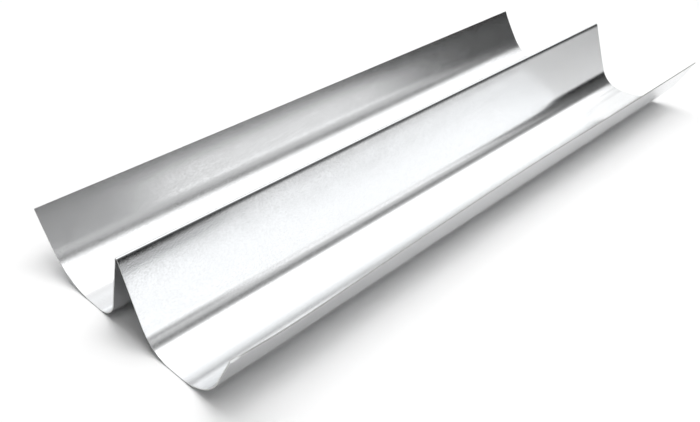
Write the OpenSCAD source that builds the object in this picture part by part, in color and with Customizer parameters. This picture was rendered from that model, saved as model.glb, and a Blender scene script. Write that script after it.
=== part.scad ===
// Baguette pan for two loaves: one sheet of tinned steel, folded over a tight
// middle ridge and bent into two long troughs that stay open at both ends.
// X runs across the troughs, Y along them and Z up; the pan stands on Z = 0.

/* [Overall] */
// Length of the sheet, along the troughs
pan_l = 380; // [200:5:600]
// Width across both troughs, over the outer edges
pan_w = 150; // [140:1:220]
// Height of the middle ridge above the table
ridge_h = 43; // [34:0.5:54]
// Height of the two outer edges above the table
edge_h = 34.5; // [26:0.5:44]

/* [Sheet] */
// Thickness of the tinned steel
sheet_t = 0.6; // [0.3:0.1:1.5]
// Inside radius of the tight fold along the ridge
fold_r = 0.5; // [0.2:0.1:1.5]

/* [Troughs] */
// Lean of the two walls beside the ridge, in degrees from upright
ridge_wall_lean = 19.67; // [12:0.01:25]
// Lean of the two outer walls, in degrees from upright
outer_wall_lean = 30.52; // [22:0.01:38]
// Inside radius of the bend between a ridge wall and the trough's floor
ridge_bend_r = 17.5; // [8:0.5:24]
// Inside radius of the wider bend between the floor and an outer wall
outer_bend_r = 34; // [16:0.5:42]

/* [Hidden] */

// Segments of a full circle
arc_segments = 360;

// How far the blocks that cut a ring down to a bend reach past the ring
overrun = 1;

// How far the sheet turns in the ridge's half fold and back in the bend below it
ridge_turn = 90 - ridge_wall_lean;

// How far it turns again from the floor to the outer wall
outer_turn = 90 - outer_wall_lean;

// Square to the ridge wall, from the centre of the fold to the centre of the bend below
fold_to_bend = fold_r + sheet_t + ridge_bend_r;

// From the floor's upper face up to the centre of the fold
floor_to_fold = ridge_h - fold_r - 2 * sheet_t;

// Straight length of a ridge wall, between its fold and its bend
ridge_wall_l = (floor_to_fold - ridge_bend_r + fold_to_bend * sin(ridge_wall_lean)) / cos(ridge_wall_lean);

// Straight length of an outer wall, from its bend up to the cut edge
outer_wall_l = (edge_h - sheet_t - outer_bend_r * (1 - sin(outer_wall_lean))) / cos(outer_wall_lean);

// Where a trough's flat floor begins and ends, measured from the middle of the pan
floor_from_x = fold_to_bend * cos(ridge_wall_lean) + ridge_wall_l * sin(ridge_wall_lean);
floor_to_x = pan_w / 2 - (outer_bend_r + sheet_t) * cos(outer_wall_lean) - outer_wall_l * sin(outer_wall_lean);

// A straight stretch of the sheet's section; what follows starts at its far end
module straight(run_l) {
    square([run_l, sheet_t]);
    translate([run_l, 0])
        children();
}

// A bend that turns the section upwards; what follows starts at its far end
module bend_up(inside_r, turn) {
    outside_r = inside_r + sheet_t;
    reach = outside_r + overrun;
    translate([0, outside_r]) {
        intersection() {
            difference() {
                circle(outside_r, $fn = arc_segments);
                circle(inside_r, $fn = arc_segments);
            }
            translate([0, -reach])
                square(reach);
            rotate(turn)
                translate([-reach, -reach])
                    square(reach);
        }
        rotate(turn)
            translate([0, -outside_r])
                children();
    }
}

// The same bend, turned downwards
module bend_down(inside_r, turn) {
    flipped()
        bend_up(inside_r, turn)
            flipped()
                children();
}

// Swaps the sheet's two faces
module flipped() {
    translate([0, sheet_t])
        mirror([0, 1])
            children();
}

// Half of the W: down from the ridge, through a trough and up to the outer edge
module half_section() {
    translate([0, ridge_h - sheet_t])
        bend_down(fold_r, ridge_turn)
            straight(ridge_wall_l)
                bend_up(ridge_bend_r, ridge_turn)
                    straight(floor_to_x - floor_from_x)
                        bend_up(outer_bend_r, outer_turn)
                            straight(outer_wall_l);
}

// The whole pan: the section run out to the length of the sheet
module pan_sheet() {
    color("silver")
        rotate([90, 0, 0])
            linear_extrude(pan_l, center = true) {
                half_section();
                mirror([1, 0])
                    half_section();
            }
}

pan_sheet();
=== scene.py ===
# Baguette pan for two loaves: one bent sheet of tinned steel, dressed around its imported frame.
# X runs across the two troughs, Y along them and Z up; the pan stands on Z = 0. All in metres.
import math

import bmesh
import bpy
from mathutils import Matrix, Vector, noise


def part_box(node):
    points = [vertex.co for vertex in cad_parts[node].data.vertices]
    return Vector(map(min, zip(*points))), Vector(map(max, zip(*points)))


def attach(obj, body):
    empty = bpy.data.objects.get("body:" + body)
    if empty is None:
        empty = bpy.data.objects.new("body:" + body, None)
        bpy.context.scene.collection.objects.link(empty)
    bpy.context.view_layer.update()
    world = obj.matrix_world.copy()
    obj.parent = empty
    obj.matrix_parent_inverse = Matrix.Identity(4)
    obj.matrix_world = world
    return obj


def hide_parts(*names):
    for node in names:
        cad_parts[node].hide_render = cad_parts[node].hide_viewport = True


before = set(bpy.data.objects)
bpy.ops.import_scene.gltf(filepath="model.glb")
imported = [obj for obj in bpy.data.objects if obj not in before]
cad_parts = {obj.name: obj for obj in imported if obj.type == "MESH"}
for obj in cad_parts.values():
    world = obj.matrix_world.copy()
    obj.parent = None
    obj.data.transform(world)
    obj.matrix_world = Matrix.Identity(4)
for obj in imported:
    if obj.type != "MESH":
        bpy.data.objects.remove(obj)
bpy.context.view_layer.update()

bl_info = {
    "name": "Baguette pan",
    "version": (1, 0, 0),
    "blender": (4, 5, 0),
    "location": "3D View > Sidebar > Pan",
    "description": "Bends a two-loaf baguette pan from one tinned sheet and lights it on a pale table",
    "category": "Add Mesh",
}

# The pan's outer size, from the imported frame
SHEET_LOW, SHEET_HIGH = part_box("pan_sheet")

# One millimetre, for sizes and pattern scales
MM = 0.001

# The direction along the troughs, about which every bend turns
ALONG = Vector((0, 1, 0))

# The photograph's width and its camera's focal length, in pixels
PHOTO_WIDTH = 700
FOCAL_LENGTH = 794.06

# How far each outer edge springs inwards, in millimetres, at shares of the length from the near end
EDGE_SPRING = {
    "right": ((0, 1.1), (0.08, 0), (0.26, 1.7), (0.5, 3.1), (0.76, 2.2), (1, 1.9)),
    "left": ((0, 0.6), (0.5, 0.6), (1, 0)),
}

# How far each outer wall bulges outwards, in millimetres, or inwards where it is below zero
WALL_SPRING = {"right": -0.4, "left": 0.3}

# The rim of the left wall is rolled inwards: the bulge that this leaves below the edge and the depth
# over which it fades out, in millimetres, and the peak of the curve that it is drawn with
RIM_ROLL = {"right": 0.0, "left": 0.3}
RIM_DEPTH = 25
ROLL_PEAK = 4 / 27

# How far the wall on each side of the ridge bulges away from its trough, in millimetres, or towards
# it where it is below zero
RIDGE_SPRING = {"right": 0.5, "left": -0.3}

# Height over the table, in millimetres, up to which the sheet's weight keeps it from springing
HELD_HEIGHT = 3

# The sheet's slight waviness: how far and over what length it wanders, and how far from the stiff
# fold at the ridge it sets in, in millimetres
WAVE_HEIGHT = 0.04
WAVE_LENGTH = 55
WAVE_START = 8

# The burr that the shears left at the near right corner, a strip turned over into the trough: its
# length along the edge, its width and the length over which it runs out, in millimetres, and its turn
BURR_LENGTH = 3.6
BURR_WIDTH = 0.7
BURR_RUN_OUT = 0.6
BURR_TURN = math.radians(50)

# Steps along the section: fold, ridge wall, ridge bend, floor, outer bend and outer wall; rows of
# faces along the length; and how close vertices of the two halves are joined, in millimetres
SECTION_STEPS = (8, 12, 26, 3, 28, 10)
LENGTH_ROWS = 76
JOIN_REACH = 0.01

# The slightly broken edges of the cut sheet: their width in millimetres, and the angle between two
# faces above which their shared edge is broken
BROKEN_WIDTH = 0.08
BROKEN_ANGLE = math.radians(60)

# How much shorter than its packed length the sheet is made, in millimetres, because its sprung
# ends lean out by a few hundredths
END_TRIM = 0.03

# The tin's stippled grain and soft mottle, and how deep the grain is, in millimetres; rolling
# stretches both a little along the sheet. The mottle varies the roughness, and the pits are duller.
GRAIN_SIZE = 0.7
GRAIN_DEPTH = 0.009
MOTTLE_SIZE = 9
ROLLING_STRETCH = (1, 0.7, 1)
TIN_GLOSSY, TIN_SATIN, TIN_PITTED = 0.17, 0.21, 0.23

# Distances from the middle of the ridge, in millimetres, at which the shade painted beside the crest
# begins, is at its darkest, begins to fade and ends; it stands in for the dark line that the fold
# mirrors
CREST_SHADE_BAND = (0.35, 0.6, 1.05, 1.5)

# The torn grain of the sheared edges and its depth, in millimetres, and its range of roughness
TEAR_SIZE = 0.7
TEAR_DEPTH = 0.03
CUT_SMOOTH, CUT_TORN = 0.38, 0.55

# The laminate's fine unevenness, in millimetres, and its range of roughness
LAMINATE_GRAIN = 4
LAMINATE_SMOOTH, LAMINATE_MATT = 0.75, 0.85

# The range that most of a noise pattern's values lie in, and how far up it a pit ends
NOISE_LOW, NOISE_HIGH = 0.3, 0.7
PIT_EDGE = 0.6

# The Mix node's sockets for a colour, whose names are also those of its sockets for a number
MIX_SHARE, MIX_START, MIX_FINISH, MIX_RESULT = 0, 6, 7, 2

# White panels that the tin mirrors: name, centre, facing, width, height and strength. They leave a dim
# gap to the right of the pan, which the bends in both troughs draw as grey bands. The three before the
# last are mirrored by the sides that face away from the photograph's camera. The last one is faint and
# wide, over all the others, so that nothing that the tin mirrors between them is quite black.
MIRRORED_PANELS = (
    ("canopy_left", (-0.75, 0.25, 0.4), (0, 0, -1), 0.9, 1.1, 0.95),
    ("canopy_middle", (-0.18, 0.25, 0.4), (0, 0, -1), 0.24, 1.1, 1.68),
    ("canopy_crest", (0.01, 0.25, 0.4), (0, 0, -1), 0.14, 1.1, 1.10),
    ("canopy_right", (0.14, 0.25, 0.4), (0, 0, -1), 0.12, 1.1, 0.56),
    ("canopy_edge", (0.23, 0.25, 0.4), (0, 0, -1), 0.06, 1.1, 0.32),
    ("dim_gap", (0.30, 0.25, 0.4), (0, 0, -1), 0.08, 1.1, 0.12),
    ("beyond_gap", (0.395, 0.25, 0.4), (0, 0, -1), 0.11, 1.1, 0.56),
    ("past_gap", (0.49, 0.25, 0.4), (0, 0, -1), 0.08, 1.1, 0.60),
    ("right_end", (0.625, 0.51, 0.4), (0, 0, -1), 0.19, 0.58, 1.00),
    ("far_left", (-0.75, 1.35, 0.4), (0, 0, -1), 0.9, 1.1, 1.20),
    ("far_middle", (-0.18, 1.35, 0.4), (0, 0, -1), 0.24, 1.1, 0.72),
    ("low_strip", (0.065, 0.175, 0.27), (0, 0, -1), 0.13, 0.85, 0.86),
    ("low_beyond_gap", (0.385, 0.175, 0.27), (0, 0, -1), 0.13, 0.85, 0.28),
    ("low_right", (0.575, 0.175, 0.27), (0, 0, -1), 0.25, 0.85, 0.26),
    ("low_edge", (0.168, -0.015, 0.08), (0, 0, -1), 0.046, 0.57, 0.64),
    ("wall_low", (1.0, 1.15, 0.05), (-1, 0, 0), 1.5, 0.1, 1.10),
    ("canopy_near", (0.0, -0.95, 0.4), (0, 0, -1), 2.4, 1.2, 0.90),
    ("wall_near", (0.0, -1.6, 0.3), (0, 1, 0), 3.0, 0.6, 0.60),
    ("wall_left", (-1.5, -0.15, 0.3), (1, 0, 0), 2.9, 0.6, 0.60),
    ("dim_ceiling", (0.0, 0.2, 0.9), (0, 0, -1), 6.0, 6.0, 0.08),
)

# Half the table's width and depth
TABLE_REACH = 0.9

# Soft lamps that light only the table: name, bearing from +X and height angle in degrees, strength
LAMP_DISTANCE = 1.5
LAMP_SIZE = 0.7
TABLE_LAMPS = (
    ("lamp_right_low", 0, 20, 2.68),
    ("lamp_left_low", 180, 20, 4.85),
    ("lamp_back", 90, 40, 0.64),
    ("lamp_right", 0, 65, 3.35),
    ("lamp_right_near", 315, 65, 3.35),
    ("lamp_right_far", 45, 65, 3.35),
    ("lamp_left", 180, 65, 1.49),
    ("lamp_left_far", 135, 65, 1.49),
    ("lamp_top", 0, 90, 4.00),
)


class PanSizes(bpy.types.PropertyGroup):
    """Sizes of the bent sheet."""

    length: bpy.props.FloatProperty(
        name="Length", description="Length of the sheet, along the troughs",
        default=SHEET_HIGH.y - SHEET_LOW.y, unit="LENGTH", subtype="DISTANCE")
    width: bpy.props.FloatProperty(
        name="Width", description="Width across both troughs, over the outer edges",
        default=SHEET_HIGH.x - SHEET_LOW.x, unit="LENGTH", subtype="DISTANCE")
    ridge_height: bpy.props.FloatProperty(
        name="Ridge height", description="Height of the middle ridge above the table",
        default=SHEET_HIGH.z, unit="LENGTH", subtype="DISTANCE")
    edge_height: bpy.props.FloatProperty(
        name="Edge height", description="Height of the two outer edges above the table",
        default=34.5 * MM, unit="LENGTH", subtype="DISTANCE")
    thickness: bpy.props.FloatProperty(
        name="Sheet", description="Thickness of the tinned steel",
        default=0.6 * MM, unit="LENGTH", subtype="DISTANCE")
    fold_radius: bpy.props.FloatProperty(
        name="Fold", description="Inside radius of the tight fold along the ridge",
        default=0.5 * MM, unit="LENGTH", subtype="DISTANCE")
    ridge_bend: bpy.props.FloatProperty(
        name="Ridge bend", description="Inside radius of the bend between a ridge wall and the floor",
        default=17.5 * MM, unit="LENGTH", subtype="DISTANCE")
    outer_bend: bpy.props.FloatProperty(
        name="Outer bend", description="Inside radius of the bend between the floor and an outer wall",
        default=34 * MM, unit="LENGTH", subtype="DISTANCE")
    ridge_lean: bpy.props.FloatProperty(
        name="Ridge lean", description="Lean of the walls beside the ridge from upright",
        default=math.radians(19.67), unit="ROTATION", subtype="ANGLE")
    outer_lean: bpy.props.FloatProperty(
        name="Outer lean", description="Lean of the outer walls from upright",
        default=math.radians(30.52), unit="ROTATION", subtype="ANGLE")
    spring: bpy.props.FloatProperty(
        name="Spring", description="How much of the real sheet's spring from its bend table is shown",
        default=1.0, min=0.0, max=1.0, subtype="FACTOR")


class StudioLook(bpy.types.PropertyGroup):
    """Colours and lights of the pan and of the table that it stands on."""

    tin: bpy.props.StringProperty(
        name="Tinplate", description="Colour of the tin coating, as an sRGB hex value", default="E6E7E8")
    tin_pits: bpy.props.StringProperty(
        name="Tin pits", description="Colour of the fine pits in the tin's grain", default="E2E3E4")
    # Painted shade: a dark grey painted into the tin beside the ridge's crest, in place of the dark line
    # that the fold mirrors
    crest_painted_shade: bpy.props.StringProperty(
        name="Crest painted shade", description="Colour of the painted shade beside the ridge's crest",
        default="808182")
    cut_steel: bpy.props.StringProperty(
        name="Cut edge", description="Colour of the bare steel at the sheared edges", default="B4B4B3")
    table: bpy.props.StringProperty(
        name="Table", description="Colour of the pale table top", default="F2F2F2")
    panels: bpy.props.FloatProperty(
        name="Panels", description="Brightness of the white panels that the tin mirrors",
        default=1.0, min=0.0, subtype="FACTOR")
    lamps: bpy.props.FloatProperty(
        name="Lamps", description="Brightness of the soft lamps that light the table",
        default=1.0, min=0.0, subtype="FACTOR")
    backdrop: bpy.props.FloatProperty(
        name="Backdrop", description="Brightness of the pale backdrop, which only the camera sees",
        default=0.95, min=0.0, subtype="FACTOR")


def linear(hex_colour):
    """An sRGB hex value as linear red, green, blue and alpha."""
    shares = [int(hex_colour[i:i + 2], 16) / 255 for i in (0, 2, 4)]
    return [s / 12.92 if s <= 0.04045 else ((s + 0.055) / 1.055) ** 2.4 for s in shares] + [1.0]


def add_node(tree, kind, inputs=None, **settings):
    """Add a node with its settings; an input is a plain value or another node's output."""
    made = tree.nodes.new(kind)
    for name, value in settings.items():
        setattr(made, name, value)
    for socket, value in (inputs or {}).items():
        if isinstance(value, bpy.types.NodeSocket):
            tree.links.new(value, made.inputs[socket])
        else:
            made.inputs[socket].default_value = value
    return made


def new_material(name):
    """An empty node material with its output."""
    material = bpy.data.materials.new(name)
    material.use_nodes = True
    material.node_tree.nodes.clear()
    return material, material.node_tree


def tinplate(look):
    """Electrolytic tinplate, rolled thin: bright and satin, with a fine stippled grain.

    The grain scatters what the sheet mirrors, so borders between light and dark break up into fine
    grey speckles, while flat stretches stay clean. The real grain is about a third of a millimetre,
    and is drawn twice as coarse, so that it shows. Along the tight fold of the ridge, a dark grey is
    painted into the tin's colour on each side of the crest, as painted shade for the dark line there.
    """
    material, tree = new_material("tinplate_satin")
    place = add_node(tree, "ShaderNodeTexCoord").outputs["Object"]
    rolled = add_node(tree, "ShaderNodeMapping", {"Vector": place, "Scale": ROLLING_STRETCH}).outputs[0]
    grain = add_node(tree, "ShaderNodeTexNoise", {
        "Vector": rolled, "Scale": 1 / (GRAIN_SIZE * MM), "Detail": 0.0}).outputs[0]
    mottle = add_node(tree, "ShaderNodeTexNoise", {
        "Vector": rolled, "Scale": 1 / (MOTTLE_SIZE * MM), "Detail": 3.0, "Roughness": 0.6}).outputs[0]
    across = add_node(tree, "ShaderNodeSeparateXYZ", {"Vector": place}).outputs["X"]
    off_crest = add_node(tree, "ShaderNodeMath", {0: across}, operation="ABSOLUTE").outputs[0]
    fold_starts, fold_darkest, fold_fades, fold_ends = (reach * MM for reach in CREST_SHADE_BAND)
    shoulder = add_node(tree, "ShaderNodeMapRange", {
        "Value": off_crest, "From Min": fold_starts, "From Max": fold_darkest}).outputs[0]
    crest_shade_share = add_node(tree, "ShaderNodeMapRange", {
        "Value": off_crest, "From Min": fold_fades, "From Max": fold_ends,
        "To Min": shoulder, "To Max": 0.0}).outputs[0]
    speckle = add_node(tree, "ShaderNodeMapRange", {
        "Value": grain, "From Min": NOISE_LOW, "From Max": NOISE_HIGH}).outputs[0]
    stippled = add_node(tree, "ShaderNodeMix", {
        MIX_SHARE: speckle, MIX_START: linear(look.tin_pits),
        MIX_FINISH: linear(look.tin)}, data_type="RGBA")
    # Paint the dark grey of the painted crest shade into the tin's colour beside the crest
    tone = add_node(tree, "ShaderNodeMix", {
        MIX_SHARE: crest_shade_share, MIX_START: stippled.outputs[MIX_RESULT],
        MIX_FINISH: linear(look.crest_painted_shade)}, data_type="RGBA")
    gloss = add_node(tree, "ShaderNodeMapRange", {
        "Value": mottle, "From Min": NOISE_LOW, "From Max": NOISE_HIGH,
        "To Min": TIN_GLOSSY, "To Max": TIN_SATIN}).outputs[0]
    scattering = add_node(tree, "ShaderNodeMapRange", {
        "Value": speckle, "From Max": PIT_EDGE, "To Min": TIN_PITTED, "To Max": gloss}).outputs[0]
    bump = add_node(tree, "ShaderNodeBump", {
        "Height": grain, "Strength": 1.0, "Distance": GRAIN_DEPTH * MM})
    shader = add_node(tree, "ShaderNodeBsdfPrincipled", {
        "Base Color": tone.outputs[MIX_RESULT], "Metallic": 1.0,
        "Roughness": scattering, "Normal": bump.outputs[0]})
    add_node(tree, "ShaderNodeOutputMaterial", {"Surface": shader.outputs[0]})
    return material


def sheared_steel(look):
    """Bare steel where the shears went through: darker and duller than the tin."""
    material, tree = new_material("sheared_steel")
    place = add_node(tree, "ShaderNodeTexCoord").outputs["Object"]
    tear = add_node(tree, "ShaderNodeTexNoise", {
        "Vector": place, "Scale": 1 / (TEAR_SIZE * MM), "Detail": 2.0, "Roughness": 0.6})
    gloss = add_node(tree, "ShaderNodeMapRange", {
        "Value": tear.outputs[0], "From Min": NOISE_LOW, "From Max": NOISE_HIGH,
        "To Min": CUT_SMOOTH, "To Max": CUT_TORN})
    bump = add_node(tree, "ShaderNodeBump", {
        "Height": tear.outputs[0], "Strength": 1.0, "Distance": TEAR_DEPTH * MM})
    shader = add_node(tree, "ShaderNodeBsdfPrincipled", {
        "Base Color": linear(look.cut_steel), "Metallic": 1.0,
        "Roughness": gloss.outputs[0], "Normal": bump.outputs[0]})
    add_node(tree, "ShaderNodeOutputMaterial", {"Surface": shader.outputs[0]})
    return material


def table_top(look):
    """White matt laminate, smooth and plain, so that only the pan's soft shadow shows on it."""
    material, tree = new_material("table_laminate")
    place = add_node(tree, "ShaderNodeTexCoord").outputs["Object"]
    fine = add_node(tree, "ShaderNodeTexNoise", {
        "Vector": place, "Scale": 1 / (LAMINATE_GRAIN * MM), "Detail": 2.0, "Roughness": 0.5})
    gloss = add_node(tree, "ShaderNodeMapRange", {
        "Value": fine.outputs[0], "To Min": LAMINATE_SMOOTH, "To Max": LAMINATE_MATT})
    shader = add_node(tree, "ShaderNodeBsdfPrincipled", {
        "Base Color": linear(look.table), "Roughness": gloss.outputs[0], "Specular IOR Level": 0.2})
    add_node(tree, "ShaderNodeOutputMaterial", {"Surface": shader.outputs[0]})
    return material


def last_vertex(walk):
    """The vertex that a spin ended on."""
    return next(part for part in walk["geom_last"] if isinstance(part, bmesh.types.BMVert))


def straight(bm, end, heading, run, steps):
    """Run the section on in a straight line; gives its new end."""
    walk = bmesh.ops.spin(
        bm, geom=[end], cent=end.co, axis=ALONG, dvec=heading * (run / steps), angle=0, steps=steps)
    return last_vertex(walk)


def bend(bm, end, heading, radius, turn, steps):
    """Bend the section, down for a positive turn and up for a negative one; gives end and heading."""
    to_centre = Matrix.Rotation(math.copysign(math.pi / 2, turn), 3, ALONG) @ heading
    centre = end.co + to_centre * radius
    walk = bmesh.ops.spin(
        bm, geom=[end], cent=centre, axis=ALONG, dvec=(0, 0, 0), angle=turn, steps=steps)
    return last_vertex(walk), Matrix.Rotation(turn, 3, ALONG) @ heading


def bend_table(sizes):
    """Lengths and turns of the half section, worked out from its heights, width, leans and radii."""
    ridge_turn = math.pi / 2 - sizes.ridge_lean
    outer_turn = math.pi / 2 - sizes.outer_lean
    fold_to_bend = sizes.fold_radius + sizes.thickness + sizes.ridge_bend
    floor_to_fold = sizes.ridge_height - sizes.fold_radius - 2 * sizes.thickness
    ridge_rise = floor_to_fold - sizes.ridge_bend + fold_to_bend * math.sin(sizes.ridge_lean)
    ridge_wall = ridge_rise / math.cos(sizes.ridge_lean)
    bend_rise = sizes.outer_bend * (1 - math.sin(sizes.outer_lean))
    outer_wall = (sizes.edge_height - sizes.thickness - bend_rise) / math.cos(sizes.outer_lean)
    floor_from = fold_to_bend * math.cos(sizes.ridge_lean) + ridge_wall * math.sin(sizes.ridge_lean)
    wall_reach = (sizes.outer_bend + sizes.thickness) * math.cos(sizes.outer_lean) \
        + outer_wall * math.sin(sizes.outer_lean)
    return ridge_turn, ridge_wall, sizes.width / 2 - wall_reach - floor_from, outer_turn, outer_wall


def near_end(sizes):
    """Where the sheet's near end lies along the troughs."""
    return (END_TRIM * MM - sizes.length) / 2


def half_section(bm, sizes):
    """The sheet's middle line from the ridge down through the right trough and up to the edge."""
    run = bm.verts.layers.float.new("run")
    half_sheet = sizes.thickness / 2
    ridge_turn, ridge_wall, floor, outer_turn, outer_wall = bend_table(sizes)
    steps = iter(SECTION_STEPS)
    end = bm.verts.new((0, near_end(sizes), sizes.ridge_height - half_sheet))
    heading = Vector((1, 0, 0))
    end, heading = bend(bm, end, heading, sizes.fold_radius + half_sheet, ridge_turn, next(steps))
    end = straight(bm, end, heading, ridge_wall, next(steps))
    end, heading = bend(bm, end, heading, sizes.ridge_bend + half_sheet, -ridge_turn, next(steps))
    end = straight(bm, end, heading, floor, next(steps))
    end, heading = bend(bm, end, heading, sizes.outer_bend + half_sheet, -outer_turn, next(steps))
    end = straight(bm, end, heading, outer_wall - BURR_WIDTH * MM, next(steps))
    straight(bm, end, heading, BURR_WIDTH * MM, 1)
    bm.verts.ensure_lookup_table()
    for before, vertex in zip(bm.verts, bm.verts[1:]):
        vertex[run] = before[run] + (vertex.co - before.co).length


def smooth_through(stations, share):
    """A smooth curve through (share, value) stations, read at a share of the length."""
    at = max(i for i in range(len(stations) - 1) if stations[i][0] <= share)
    (low, start), (high, finish) = stations[at:at + 2]
    slopes = []
    for i in (at, at + 1):
        before, after = stations[max(i - 1, 0)], stations[min(i + 1, len(stations) - 1)]
        slopes.append((after[1] - before[1]) / (after[0] - before[0]) * (high - low))
    t = (share - low) / (high - low)
    ease = t * t * (3 - 2 * t)
    return start + (finish - start) * ease + slopes[0] * t * (1 - t) ** 2 - slopes[1] * t * t * (1 - t)


def spring_back(bm, sizes):
    """Let the sheet spring from its bend table as the real one has: edges in, walls slightly curved."""
    run = bm.verts.layers.float["run"]
    ridge_turn, ridge_wall, floor, outer_turn, outer_wall = bend_table(sizes)
    half_sheet = sizes.thickness / 2
    fold_end = (sizes.fold_radius + half_sheet) * ridge_turn
    floor_start = fold_end + ridge_wall + (sizes.ridge_bend + half_sheet) * ridge_turn
    outer_start = floor_start + floor
    outer_run = (sizes.outer_bend + half_sheet) * outer_turn + outer_wall
    yields_from = 2 * HELD_HEIGHT * MM
    moves = []
    for vertex in bm.verts:
        side = "right" if vertex.co.x > 0 else "left"
        along = min(1, max(0, vertex.co.y / sizes.length + 0.5))
        free = min(1, (vertex.co.z - half_sheet) / (HELD_HEIGHT * MM))
        loose = min(1, max(0, vertex[run] - fold_end) / (WAVE_START * MM))
        out = WAVE_HEIGHT * noise.noise(vertex.co / (WAVE_LENGTH * MM)) * free * loose
        inwards = 0
        if vertex[run] > outer_start:
            up_wall = min(1, (vertex[run] - outer_start) / outer_run)
            out += WALL_SPRING[side] * math.sin(math.pi * up_wall) * free
            below_edge = min(1, outer_run * (1 - up_wall) / (RIM_DEPTH * MM))
            out += RIM_ROLL[side] * below_edge * (1 - below_edge) ** 2 / ROLL_PEAK
            rise = min(1, max(0, (vertex.co.z - yields_from) / (sizes.edge_height - yields_from)))
            inwards = smooth_through(EDGE_SPRING[side], along) * rise
        elif fold_end < vertex[run] < floor_start:
            down_wall = (vertex[run] - fold_end) / (floor_start - fold_end)
            out += RIDGE_SPRING[side] * math.sin(math.pi * down_wall) * free
        across = Vector((math.copysign(inwards, -vertex.co.x), 0, 0))
        moves.append((across - vertex.normal * out) * MM * sizes.spring)
    for vertex, move in zip(bm.verts, moves):
        vertex.co += move


def corner_burr(bm, sizes):
    """Turn the burr at the near right corner over into the trough, about the line below it."""
    run = bm.verts.layers.float["run"]
    burr_from = max(vertex[run] for vertex in bm.verts) - BURR_WIDTH * MM / 2
    burr_to = near_end(sizes) + (BURR_LENGTH + BURR_RUN_OUT / 2) * MM
    for vertex in bm.verts:
        if vertex.co.x > 0 and vertex[run] > burr_from and vertex.co.y < burr_to:
            up_wall = ALONG.cross(vertex.normal)
            turned = up_wall * (math.cos(BURR_TURN) - 1) + vertex.normal * math.sin(BURR_TURN)
            vertex.co += turned * BURR_WIDTH * MM


def bent_sheet(sizes, look):
    """The whole pan as one closed sheet with its real thickness and broken edges."""
    bm = bmesh.new()
    half_section(bm, sizes)
    bmesh.ops.mirror(bm, geom=bm.verts[:] + bm.edges[:], axis="X", merge_dist=JOIN_REACH * MM)
    bmesh.ops.spin(
        bm, geom=bm.verts[:] + bm.edges[:], cent=(0, 0, 0), axis=ALONG,
        dvec=ALONG * (-2 * near_end(sizes) / LENGTH_ROWS), angle=0, steps=LENGTH_ROWS)
    for cut in (BURR_LENGTH, BURR_LENGTH + BURR_RUN_OUT):
        bmesh.ops.bisect_plane(
            bm, geom=bm.verts[:] + bm.edges[:] + bm.faces[:],
            plane_co=(0, near_end(sizes) + cut * MM, 0), plane_no=ALONG)
    bmesh.ops.recalc_face_normals(bm, faces=bm.faces[:])
    if sum(face.normal.z for face in bm.faces) < 0:
        bmesh.ops.reverse_faces(bm, faces=bm.faces[:])
    bm.normal_update()
    spring_back(bm, sizes)
    bm.normal_update()
    corner_burr(bm, sizes)
    for face in bm.faces:
        face.smooth = True
    mesh = bpy.data.meshes.new("bent_sheet")
    bm.to_mesh(mesh)
    bm.free()
    mesh.materials.append(tinplate(look))
    mesh.materials.append(sheared_steel(look))
    pan = bpy.data.objects.new("bent_sheet", mesh)
    bpy.context.scene.collection.objects.link(pan)

    gauge = pan.modifiers.new("gauge", "SOLIDIFY")
    gauge.thickness = sizes.thickness
    gauge.offset = 0
    gauge.use_even_offset = True
    gauge.material_offset_rim = 1
    broken = pan.modifiers.new("broken edges", "BEVEL")
    broken.width = BROKEN_WIDTH * MM
    broken.segments = 2
    broken.limit_method = "ANGLE"
    broken.angle_limit = BROKEN_ANGLE
    broken.harden_normals = True
    return pan


def area_light(name, centre, facing, width, height, strength):
    """A soft white panel that shines along facing and stays out of the camera's sight.

    Its energy is set so that the panel looks as bright as its strength, whatever its size.
    """
    light = bpy.data.lights.new(name, "AREA")
    light.shape = "RECTANGLE"
    light.size = width
    light.size_y = height
    light.energy = strength * math.pi * width * height
    lamp = bpy.data.objects.new(name, light)
    lamp.location = centre
    lamp.rotation_euler = Vector(facing).to_track_quat("-Z", "Y").to_euler()
    lamp.visible_camera = False
    bpy.context.scene.collection.objects.link(lamp)
    return lamp


def photo_camera():
    """The camera that the photograph's edges were fitted to."""
    camera = bpy.data.cameras.new("camera")
    camera.sensor_width = 36
    camera.lens = FOCAL_LENGTH / PHOTO_WIDTH * camera.sensor_width
    stand = bpy.data.objects.new("camera", camera)
    right = Vector((0.71306, 0.70101, -0.01092))
    down = Vector((0.37388, -0.39339, -0.83992))
    turned = Matrix((right, -down, down.cross(right))).transposed()
    place = Vector((0.25339, -0.30817, 0.23423))
    stand.matrix_world = Matrix.Translation(place) @ turned.to_4x4()
    bpy.context.scene.collection.objects.link(stand)
    bpy.context.scene.camera = stand


def table(look):
    """A wide plain table top that the pan stands on."""
    bm = bmesh.new()
    bmesh.ops.create_grid(bm, x_segments=1, y_segments=1, size=TABLE_REACH)
    mesh = bpy.data.meshes.new("table")
    bm.to_mesh(mesh)
    bm.free()
    mesh.materials.append(table_top(look))
    top = bpy.data.objects.new("table", mesh)
    bpy.context.scene.collection.objects.link(top)
    return top


class PAN_OT_bent_sheet(bpy.types.Operator):
    """Bend the pan's sheet and give it its tinplate"""

    bl_idname = "baguette_pan.bent_sheet"
    bl_label = "Bent sheet"

    def execute(self, context):
        pan = bent_sheet(context.scene.pan_sizes, context.scene.studio_look)
        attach(pan, "root")
        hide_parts("pan_sheet")
        return {"FINISHED"}


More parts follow.
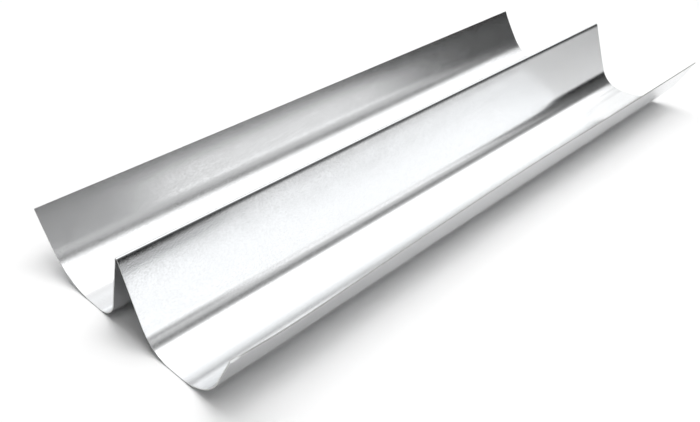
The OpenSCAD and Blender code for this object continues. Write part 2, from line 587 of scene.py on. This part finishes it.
class PAN_OT_studio(bpy.types.Operator):
    """Set up the table, the soft white panels, the lamps, the pale backdrop and the camera"""

    bl_idname = "baguette_pan.studio"
    bl_label = "Table, lights and camera"

    def execute(self, context):
        look = context.scene.studio_look
        table(look)
        for name, centre, facing, width, height, strength in MIRRORED_PANELS:
            panel = area_light(name, centre, facing, width, height, strength * look.panels)
            panel.visible_diffuse = False
        for name, bearing, rise, strength in TABLE_LAMPS:
            raised = Matrix.Rotation(math.radians(-rise), 3, "Y") @ Vector((1, 0, 0))
            towards = Matrix.Rotation(math.radians(bearing), 3, "Z") @ raised
            lamp = area_light(
                name, towards * LAMP_DISTANCE, -towards, LAMP_SIZE, LAMP_SIZE, strength * look.lamps)
            lamp.visible_glossy = False
        world = bpy.data.worlds.new("pale_backdrop")
        context.scene.world = world
        world.use_nodes = True
        world.node_tree.nodes["Background"].inputs["Color"].default_value = (1, 1, 1, 1)
        world.node_tree.nodes["Background"].inputs["Strength"].default_value = look.backdrop
        world.cycles_visibility.diffuse = False
        world.cycles_visibility.glossy = False
        context.scene.view_settings.view_transform = "Standard"
        photo_camera()
        return {"FINISHED"}


class PAN_PT_panel(bpy.types.Panel):
    """The pan's makers, in the 3D view's sidebar"""

    bl_idname = "PAN_PT_panel"
    bl_label = "Baguette pan"
    bl_space_type = "VIEW_3D"
    bl_region_type = "UI"
    bl_category = "Pan"

    def draw(self, context):
        column = self.layout.column()
        for group in (context.scene.pan_sizes, context.scene.studio_look):
            for name in group.__annotations__:
                column.prop(group, name)
        for maker in MAKERS:
            column.operator(maker.bl_idname)


MAKERS = (PAN_OT_bent_sheet, PAN_OT_studio)
CLASSES = (PanSizes, StudioLook, *MAKERS, PAN_PT_panel)


def register():
    for each in CLASSES:
        bpy.utils.register_class(each)
    bpy.types.Scene.pan_sizes = bpy.props.PointerProperty(type=PanSizes)
    bpy.types.Scene.studio_look = bpy.props.PointerProperty(type=StudioLook)


def unregister():
    del bpy.types.Scene.studio_look
    del bpy.types.Scene.pan_sizes
    for each in reversed(CLASSES):
        bpy.utils.unregister_class(each)


def main():
    register()
    bpy.ops.baguette_pan.bent_sheet()
    bpy.ops.baguette_pan.studio()


if __name__ == "__main__":
    main()
